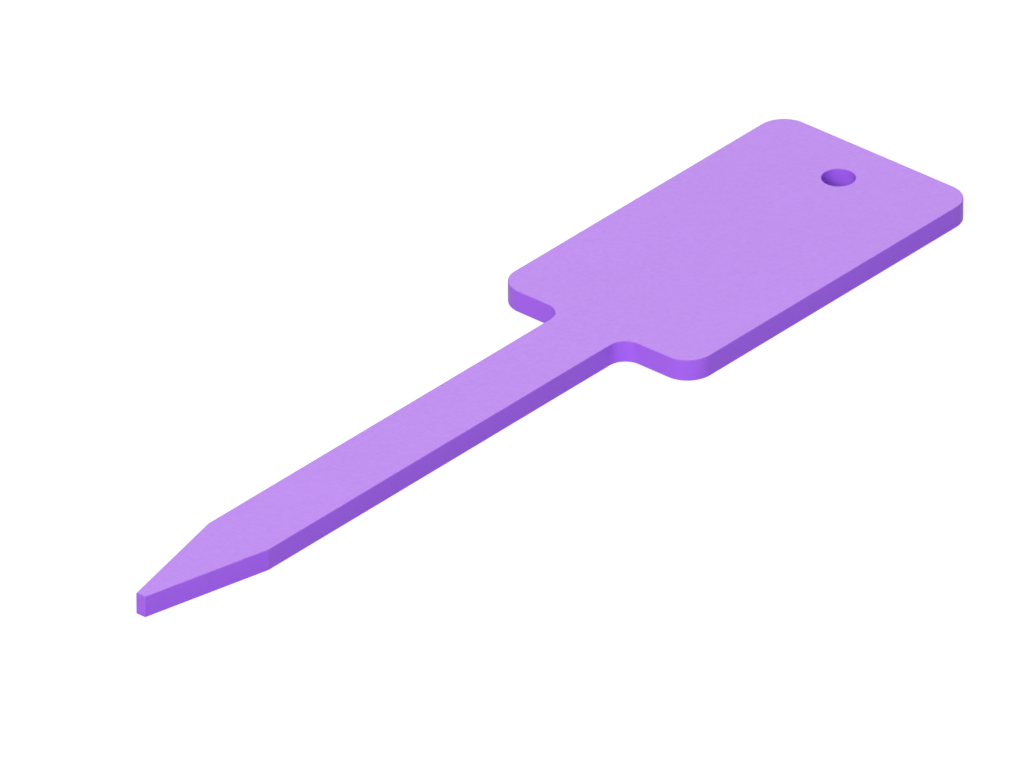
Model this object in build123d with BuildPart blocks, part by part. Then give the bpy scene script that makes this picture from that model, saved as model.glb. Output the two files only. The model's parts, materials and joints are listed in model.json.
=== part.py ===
from build123d import *
import os

# Plant label stake: one flat plastic plate with a writing head and a blade that is pushed into the soil.
# +Y runs along the stake towards the head, +X across it, and +Z out of the face that is written on.
# The origin is on the back face, halfway along the stake and on its centre line. Sizes are in millimetres.

# Plate
thickness = 2.4

# Writing head: a rectangle with rounded corners
head_length = 45.0
head_width = 26.0
head_corner_radius = 3.0

# Tie hole, on the centre line near the far end of the head
hole_diameter = 3.5
hole_edge_margin = 4.5

# Blade: from the head's shoulders to the end of the tip, with the taper included
blade_length = 70.0
blade_width = 8.0
taper_length = 15.0
tip_width = 1.2

# Neck: rounded inner corners where the blade meets the shoulders
neck_fillet_radius = 2.0

# Most of a shoulder's width that its corner and its neck fillet may take up together
fillet_room = 0.95

# Places along the stake
overall_length = head_length + blade_length
head_end_y = overall_length / 2
shoulder_y = head_end_y - head_length
tip_y = shoulder_y - blade_length
taper_y = tip_y + taper_length
hole_y = head_end_y - hole_edge_margin - hole_diameter / 2

# The two rounds at each shoulder shrink together if the shoulder is too narrow for them
shoulder_width = (head_width - blade_width) / 2
round_scale = min(1, fillet_room * shoulder_width / (head_corner_radius + neck_fillet_radius))
head_corner_round = head_corner_radius * round_scale
neck_round = neck_fillet_radius * round_scale

os.makedirs("parts", exist_ok=True)

with BuildPart() as label_stake:
    # Head and blade are one outline, drawn on the back face
    with BuildSketch(Plane.XY):
        with Locations((0, shoulder_y)):
            Rectangle(head_width, head_length, align=(Align.CENTER, Align.MIN))
        with BuildLine():
            Polyline(
                (-blade_width / 2, shoulder_y),
                (-blade_width / 2, taper_y),
                (-tip_width / 2, tip_y),
                (tip_width / 2, tip_y),
                (blade_width / 2, taper_y),
                (blade_width / 2, shoulder_y),
                close=True,
            )
        make_face()
    extrude(amount=thickness)

    # The inner pair of the upright edges along the shoulders is the neck
    shoulder_edges = edges().filter_by(Axis.Z).group_by(Axis.Y)[-2]
    fillet(shoulder_edges.sort_by(Axis.X)[1:-1], radius=neck_round)

    # The outermost upright edges on each side are the head's corners
    edges_across = edges().filter_by(Axis.Z).group_by(Axis.X)
    fillet(edges_across[0] + edges_across[-1], radius=head_corner_round)

    with Locations((0, hole_y, thickness)):
        Hole(radius=hole_diameter / 2)

label_stake.part.label = "label_stake"
export_step(label_stake.part, "parts/label_stake.step")
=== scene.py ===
# Plant label stake of purple plastic on a white studio floor. Metres, +Z up, in the part's own frame.
import json
import math

import bpy
import numpy as np
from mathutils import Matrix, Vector


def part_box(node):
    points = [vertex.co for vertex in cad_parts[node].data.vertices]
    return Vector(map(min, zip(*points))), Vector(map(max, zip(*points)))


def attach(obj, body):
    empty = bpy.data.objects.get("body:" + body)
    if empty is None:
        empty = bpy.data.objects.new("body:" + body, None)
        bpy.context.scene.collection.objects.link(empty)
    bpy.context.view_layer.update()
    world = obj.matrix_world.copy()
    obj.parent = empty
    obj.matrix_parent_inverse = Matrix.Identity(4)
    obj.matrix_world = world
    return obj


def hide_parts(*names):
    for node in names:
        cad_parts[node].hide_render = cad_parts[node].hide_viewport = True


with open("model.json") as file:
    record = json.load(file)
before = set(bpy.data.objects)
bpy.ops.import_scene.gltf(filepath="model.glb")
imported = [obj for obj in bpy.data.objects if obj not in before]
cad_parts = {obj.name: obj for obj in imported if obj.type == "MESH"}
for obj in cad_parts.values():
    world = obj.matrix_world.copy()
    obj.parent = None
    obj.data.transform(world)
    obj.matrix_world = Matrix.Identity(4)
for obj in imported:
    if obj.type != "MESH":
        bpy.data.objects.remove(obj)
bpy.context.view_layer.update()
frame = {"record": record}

# Label stake
# The whole object: one flat plate of purple plastic, moulded in one shot, with nothing fixed to it. The
# mould leaves a fine satin grain on it and takes the bite off its edges.
plate_low, plate_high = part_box("label_stake")
tie_hole = next(mount for mount in frame["record"]["mounts"] if mount["name"] == "hang_hole")
hole_centre = np.array(tie_hole["pos_m"][:2])
hole_radius = tie_hole["dims"]["r_mm"] / 1000

head_length = 0.045
blade_width = 0.008
taper_length = 0.015
tip_width = 0.0012
head_corner_radius = 0.003
neck_radius = 0.002
taper_corner_radius = 0.00015
tip_corner_radius = 0.0001
edge_radius = 0.00008

shoulder_y = plate_high.y - head_length
right_side = np.array([
    (tip_width / 2, plate_low.y),
    (blade_width / 2, plate_low.y + taper_length),
    (blade_width / 2, shoulder_y),
    (plate_high.x, shoulder_y),
    (plate_high.x, plate_high.y),
])
right_rounds = np.array([
    tip_corner_radius,
    taper_corner_radius,
    neck_radius,
    head_corner_radius,
    head_corner_radius,
])


def rounded_outline(corners, rounds, arc_steps, run_steps):
    """Points and outward normals of a closed anticlockwise outline with corners rounded by tangent arcs.

    A corner that turns by an angle is cut back along both sides by its round times the tangent of half
    the angle. Along the arc the heading turns evenly from the old side's to the new side's. The outward
    normal is the heading turned a quarter to the right, and a point of the arc is its centre plus the
    round times that normal, or minus it where the corner turns inwards. The straight run from one arc to
    the next is divided evenly.
    """
    sides = np.roll(corners, -1, axis=0) - corners
    new_heading = np.arctan2(sides[:, 1], sides[:, 0])
    old_heading = np.roll(new_heading, 1)
    turn = (new_heading - old_heading + np.pi) % (2 * np.pi) - np.pi

    def forward(heading):
        return np.stack([np.cos(heading), np.sin(heading)], axis=-1)

    def outward(heading):
        return np.stack([np.sin(heading), -np.cos(heading)], axis=-1)

    reach = np.sign(turn) * rounds
    cut_back = rounds * np.tan(np.abs(turn) / 2)
    centres = corners - cut_back[:, None] * forward(old_heading) - reach[:, None] * outward(old_heading)
    arc_normals = outward(old_heading[:, None] + turn[:, None] * np.linspace(0, 1, arc_steps + 1))
    arcs = centres[:, None] + reach[:, None, None] * arc_normals

    along = np.linspace(0, 1, run_steps + 1)[1:-1, None]
    run_starts = arcs[:, -1:]
    run_ends = np.roll(arcs[:, :1], -1, axis=0)
    runs = run_starts + (run_ends - run_starts) * along
    run_normals = np.broadcast_to(outward(new_heading)[:, None], runs.shape)

    points = np.concatenate([arcs, runs], axis=1).reshape(-1, 2)
    normals = np.concatenate([arc_normals, run_normals], axis=1).reshape(-1, 2)
    return points, normals


def holed_plate(outline, outward, face_steps, wall_steps, rim_steps):
    """Grid of points and normals of the plate: one closed upright section carried once round the outline.

    At each station the section climbs the hole's wall, crosses the upper face to the outline, goes down the
    outer wall and comes back below. A wall's normal leans from straight up to straight down. Each rim is a
    quarter circle of the edge radius, so a wall is drawn in by the radius less its cosine share, and raised
    by its sine share. The faces are straight lines from rim to rim. The station's point on the hole lies
    halfway, in angle, between the direction of its outline point and its share of the way round from the
    middle of the tip, which spreads the points about the hole.
    """
    from_hole = outline - hole_centre
    direction = np.unwrap(np.arctan2(from_hole[:, 0], -from_hole[:, 1]))
    steps = np.linalg.norm(np.roll(outline, -1, axis=0) - outline, axis=1)
    way_round = np.cumsum(steps) - steps + outline[0, 0]
    hole_angle = (direction + 2 * np.pi * way_round / steps.sum()) / 2
    ray = np.stack([np.sin(hole_angle), -np.cos(hole_angle)], axis=1)

    rim = np.linspace(np.pi / 2, 0, rim_steps + 1)
    lean = np.concatenate([rim, np.zeros(wall_steps - 1), -rim[::-1]])
    drawn_in = edge_radius * (1 - np.cos(lean))
    wall_heights = np.linspace(plate_high.z - edge_radius, plate_low.z + edge_radius, wall_steps + 1)
    heights = np.pad(wall_heights, rim_steps, mode="edge") + edge_radius * np.sin(lean)

    def upright(plan, height):
        return np.concatenate([plan, np.broadcast_to(height[:, None], (*plan.shape[:2], 1))], axis=2)

    outer_wall = upright(outline[:, None] - outward[:, None] * drawn_in[:, None], heights)
    outer_normals = upright(outward[:, None] * np.cos(lean)[:, None], np.sin(lean))
    hole_edge = hole_centre + hole_radius * ray
    hole_wall = upright(hole_edge[:, None] + ray[:, None] * drawn_in[:, None], heights)[:, ::-1]
    hole_normals = upright(-ray[:, None] * np.cos(lean)[:, None], np.sin(lean))[:, ::-1]

    across = np.linspace(0, 1, face_steps + 1)[1:-1, None]
    upper_face = hole_wall[:, -1:] + (outer_wall[:, :1] - hole_wall[:, -1:]) * across
    lower_face = outer_wall[:, -1:] + (hole_wall[:, :1] - outer_wall[:, -1:]) * across
    upper_normals = np.broadcast_to([0.0, 0.0, 1.0], upper_face.shape)
    lower_normals = -upper_normals

    points = np.concatenate([hole_wall, upper_face, outer_wall, lower_face], axis=1)
    normals = np.concatenate([hole_normals, upper_normals, outer_normals, lower_normals], axis=1)
    return points, normals


outline, outward = rounded_outline(
    corners=np.concatenate([right_side, right_side[::-1] * (-1, 1)]),
    rounds=np.concatenate([right_rounds, right_rounds[::-1]]),
    arc_steps=18,
    run_steps=24,
)
points, normals = holed_plate(outline, outward, face_steps=14, wall_steps=4, rim_steps=5)

corner_number = np.arange(points.shape[0] * points.shape[1]).reshape(points.shape[:2])
next_along = np.roll(corner_number, -1, axis=1)
next_station = np.roll(corner_number, -1, axis=0)
next_both = np.roll(next_along, -1, axis=0)
quads = np.stack([corner_number, next_along, next_both, next_station], axis=-1)
plate_mesh = bpy.data.meshes.new("label_plate")
plate_mesh.from_pydata(points.reshape(-1, 3), [], quads.reshape(-1, 4), shade_flat=False)
plate_mesh.normals_split_custom_set_from_vertices(normals.reshape(-1, 3))
label_plate = bpy.data.objects.new("label_plate", plate_mesh)
bpy.context.scene.collection.objects.link(label_plate)


def purple_satin_plastic():
    """Plastic coloured right through, with the mould's fine grain.

    The colour wanders a little between two purples, as pigment does. The grain is fractal noise about half
    a millimetre across, which lifts the surface by about a hundredth of a millimetre, and the roughness
    follows it.
    """
    deep_purple = (0.316, 0.103, 0.722, 1)
    pale_purple = (0.340, 0.111, 0.778, 1)
    pigment_scale = 110
    grain_scale = 2200
    grain_depth = 0.00003
    least_rough = 0.42
    most_rough = 0.5
    gloss = 0.2
    material = bpy.data.materials.new("purple_satin_plastic")
    material.use_nodes = True
    nodes = material.node_tree.nodes
    link = material.node_tree.links.new
    plastic = nodes["Principled BSDF"]
    plastic.inputs["Specular IOR Level"].default_value = gloss
    place = nodes.new("ShaderNodeTexCoord")

    pigment = nodes.new("ShaderNodeTexNoise")
    pigment.inputs["Scale"].default_value = pigment_scale
    pigment.inputs["Detail"].default_value = 3
    link(place.outputs["Object"], pigment.inputs["Vector"])
    tint = nodes.new("ShaderNodeMix")
    tint.data_type = "RGBA"
    tint.inputs["A"].default_value = deep_purple
    tint.inputs["B"].default_value = pale_purple
    link(pigment.outputs["Fac"], tint.inputs["Factor"])
    link(tint.outputs["Result"], plastic.inputs["Base Color"])

    grain = nodes.new("ShaderNodeTexNoise")
    grain.inputs["Scale"].default_value = grain_scale
    grain.inputs["Detail"].default_value = 3
    link(place.outputs["Object"], grain.inputs["Vector"])
    relief = nodes.new("ShaderNodeBump")
    relief.inputs["Strength"].default_value = 1.0
    relief.inputs["Distance"].default_value = grain_depth
    link(grain.outputs["Fac"], relief.inputs["Height"])
    link(relief.outputs["Normal"], plastic.inputs["Normal"])
    sheen_range = nodes.new("ShaderNodeMapRange")
    sheen_range.inputs["To Min"].default_value = least_rough
    sheen_range.inputs["To Max"].default_value = most_rough
    link(grain.outputs["Fac"], sheen_range.inputs["Value"])
    link(sheen_range.outputs["Result"], plastic.inputs["Roughness"])
    return material


plate_mesh.materials.append(purple_satin_plastic())
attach(label_plate, "root")
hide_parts("label_stake")

# Floor
# A wide sheet of matt white card that the label lies on, a hair below the plate so that the two never share
# a surface. Seen straight or mirrored it is white, and the label's soft shadow stays faint on it.
floor_half = 3.0
floor_gap = 0.00003
floor_plan = np.array([(-1, -1), (1, -1), (1, 1), (-1, 1)]) * floor_half
floor_points = np.column_stack([floor_plan, np.full(len(floor_plan), plate_low.z - floor_gap)])
floor_mesh = bpy.data.meshes.new("floor")
floor_mesh.from_pydata(floor_points, [], [(0, 1, 2, 3)])
floor = bpy.data.objects.new("floor", floor_mesh)
bpy.context.scene.collection.objects.link(floor)


def seen_rays(nodes, link):
    """1 on rays that show a thing, straight, mirrored or through glass, and 0 on those that only light."""
    path = nodes.new("ShaderNodeLightPath")
    mirrored = nodes.new("ShaderNodeMath")
    mirrored.operation = "MAXIMUM"
    link(path.outputs["Is Camera Ray"], mirrored.inputs[0])
    link(path.outputs["Is Glossy Ray"], mirrored.inputs[1])
    seen = nodes.new("ShaderNodeMath")
    seen.operation = "MAXIMUM"
    link(mirrored.outputs["Value"], seen.inputs[0])
    link(path.outputs["Is Transmission Ray"], seen.inputs[1])
    return seen.outputs["Value"]


def white_card():
    """Matt white card.

    On rays that show it, most of the white is even and the rest is lit, so the shadow stays faint. On rays
    that only light it is a duller card, which throws less light up at the label's walls.
    """
    lighting_grey = (0.45, 0.45, 0.45, 1)
    shadow_grey = (0.25, 0.25, 0.25, 1)
    even_white = 0.8
    material = bpy.data.materials.new("white_card")
    material.use_nodes = True
    nodes = material.node_tree.nodes
    link = material.node_tree.links.new
    nodes.remove(nodes["Principled BSDF"])
    lit = nodes.new("ShaderNodeBsdfDiffuse")
    lit.inputs["Color"].default_value = lighting_grey
    lit_share = nodes.new("ShaderNodeBsdfDiffuse")
    lit_share.inputs["Color"].default_value = shadow_grey
    even_share = nodes.new("ShaderNodeEmission")
    even_share.inputs["Strength"].default_value = even_white
    shown = nodes.new("ShaderNodeAddShader")
    link(lit_share.outputs["BSDF"], shown.inputs[0])
    link(even_share.outputs["Emission"], shown.inputs[1])
    choice = nodes.new("ShaderNodeMixShader")
    link(seen_rays(nodes, link), choice.inputs["Fac"])
    link(lit.outputs["BSDF"], choice.inputs[1])
    link(shown.outputs["Shader"], choice.inputs[2])
    link(choice.outputs["Shader"], nodes["Material Output"].inputs["Surface"])
    return material


floor_mesh.materials.append(white_card())

# Light
# White walls give a little even light. The upper face mirrors a warm soft panel behind it as a pale veil, a
# white one before the tip lights face, shoulders and hole, and a weak cool one the long walls on the right.
wall_strength = 0.19
panel_distance = 1.5
world = bpy.data.worlds.new("white_walls")
world.use_nodes = True
bpy.context.scene.world = world
world_nodes = world.node_tree.nodes
world_link = world.node_tree.links.new
wall_light = world_nodes["Background"]
wall_light.inputs["Color"].default_value = (1, 1, 1, 1)
wall_light.inputs["Strength"].default_value = wall_strength
white_wall = world_nodes.new("ShaderNodeBackground")
white_wall.inputs["Color"].default_value = (1, 1, 1, 1)
white_wall.inputs["Strength"].default_value = 1.0
wall_choice = world_nodes.new("ShaderNodeMixShader")
world_link(seen_rays(world_nodes, world_link), wall_choice.inputs["Fac"])
world_link(wall_light.outputs["Background"], wall_choice.inputs[1])
world_link(white_wall.outputs["Background"], wall_choice.inputs[2])
world_link(wall_choice.outputs["Shader"], world_nodes["World Output"].inputs["Surface"])


def direction_at(azimuth, elevation):
    """Unit vector at an azimuth, from -Y towards +X, and an elevation above the floor, in degrees."""
    turn = math.radians(azimuth)
    lift = math.radians(elevation)
    return Vector((math.sin(turn) * math.cos(lift), -math.cos(turn) * math.cos(lift), math.sin(lift)))


def soft_panel(name, azimuth, elevation, side, radiance, colour):
    """A square lamp that faces the label. Its power is its radiance times its area times pi."""
    away = direction_at(azimuth, elevation)
    lamp = bpy.data.lights.new(name, "AREA")
    lamp.size = side
    lamp.color = colour
    lamp.energy = radiance * side**2 * math.pi
    panel = bpy.data.objects.new(name, lamp)
    panel.location = away * panel_distance
    panel.rotation_euler = away.to_track_quat("Z", "Y").to_euler()
    bpy.context.scene.collection.objects.link(panel)


soft_panel(
    "back_panel",
    azimuth=220.4,
    elevation=30.6,
    side=0.7,
    radiance=8.2,
    colour=(1.0, 0.98, 0.66),
)
soft_panel(
    "front_panel",
    azimuth=20.5,
    elevation=37,
    side=0.8,
    radiance=12.0,
    colour=(1.0, 1.0, 0.94),
)
soft_panel(
    "side_panel",
    azimuth=97,
    elevation=17,
    side=0.6,
    radiance=4.4,
    colour=(0.66, 0.57, 1.0),
)

# Camera
# A very long lens far back, so that the view is all but parallel. It looks down on the upper face from the
# tip's end and from the label's right, and the aim puts the label in the middle of the frame.
camera_azimuth = 40.4807
camera_elevation = 30.7112
camera_distance = 3.45713
aim = Vector((0.000122, -0.000327, 0.0012))
towards_camera = direction_at(camera_azimuth, camera_elevation)
lens = bpy.data.cameras.new("long_lens")
lens.lens = 1200
lens.sensor_width = 36
camera = bpy.data.objects.new("camera", lens)
camera.location = aim + towards_camera * camera_distance
camera.rotation_euler = towards_camera.to_track_quat("Z", "Y").to_euler()
bpy.context.scene.collection.objects.link(camera)
bpy.context.scene.camera = camera
bpy.context.scene.view_settings.view_transform = "Standard"
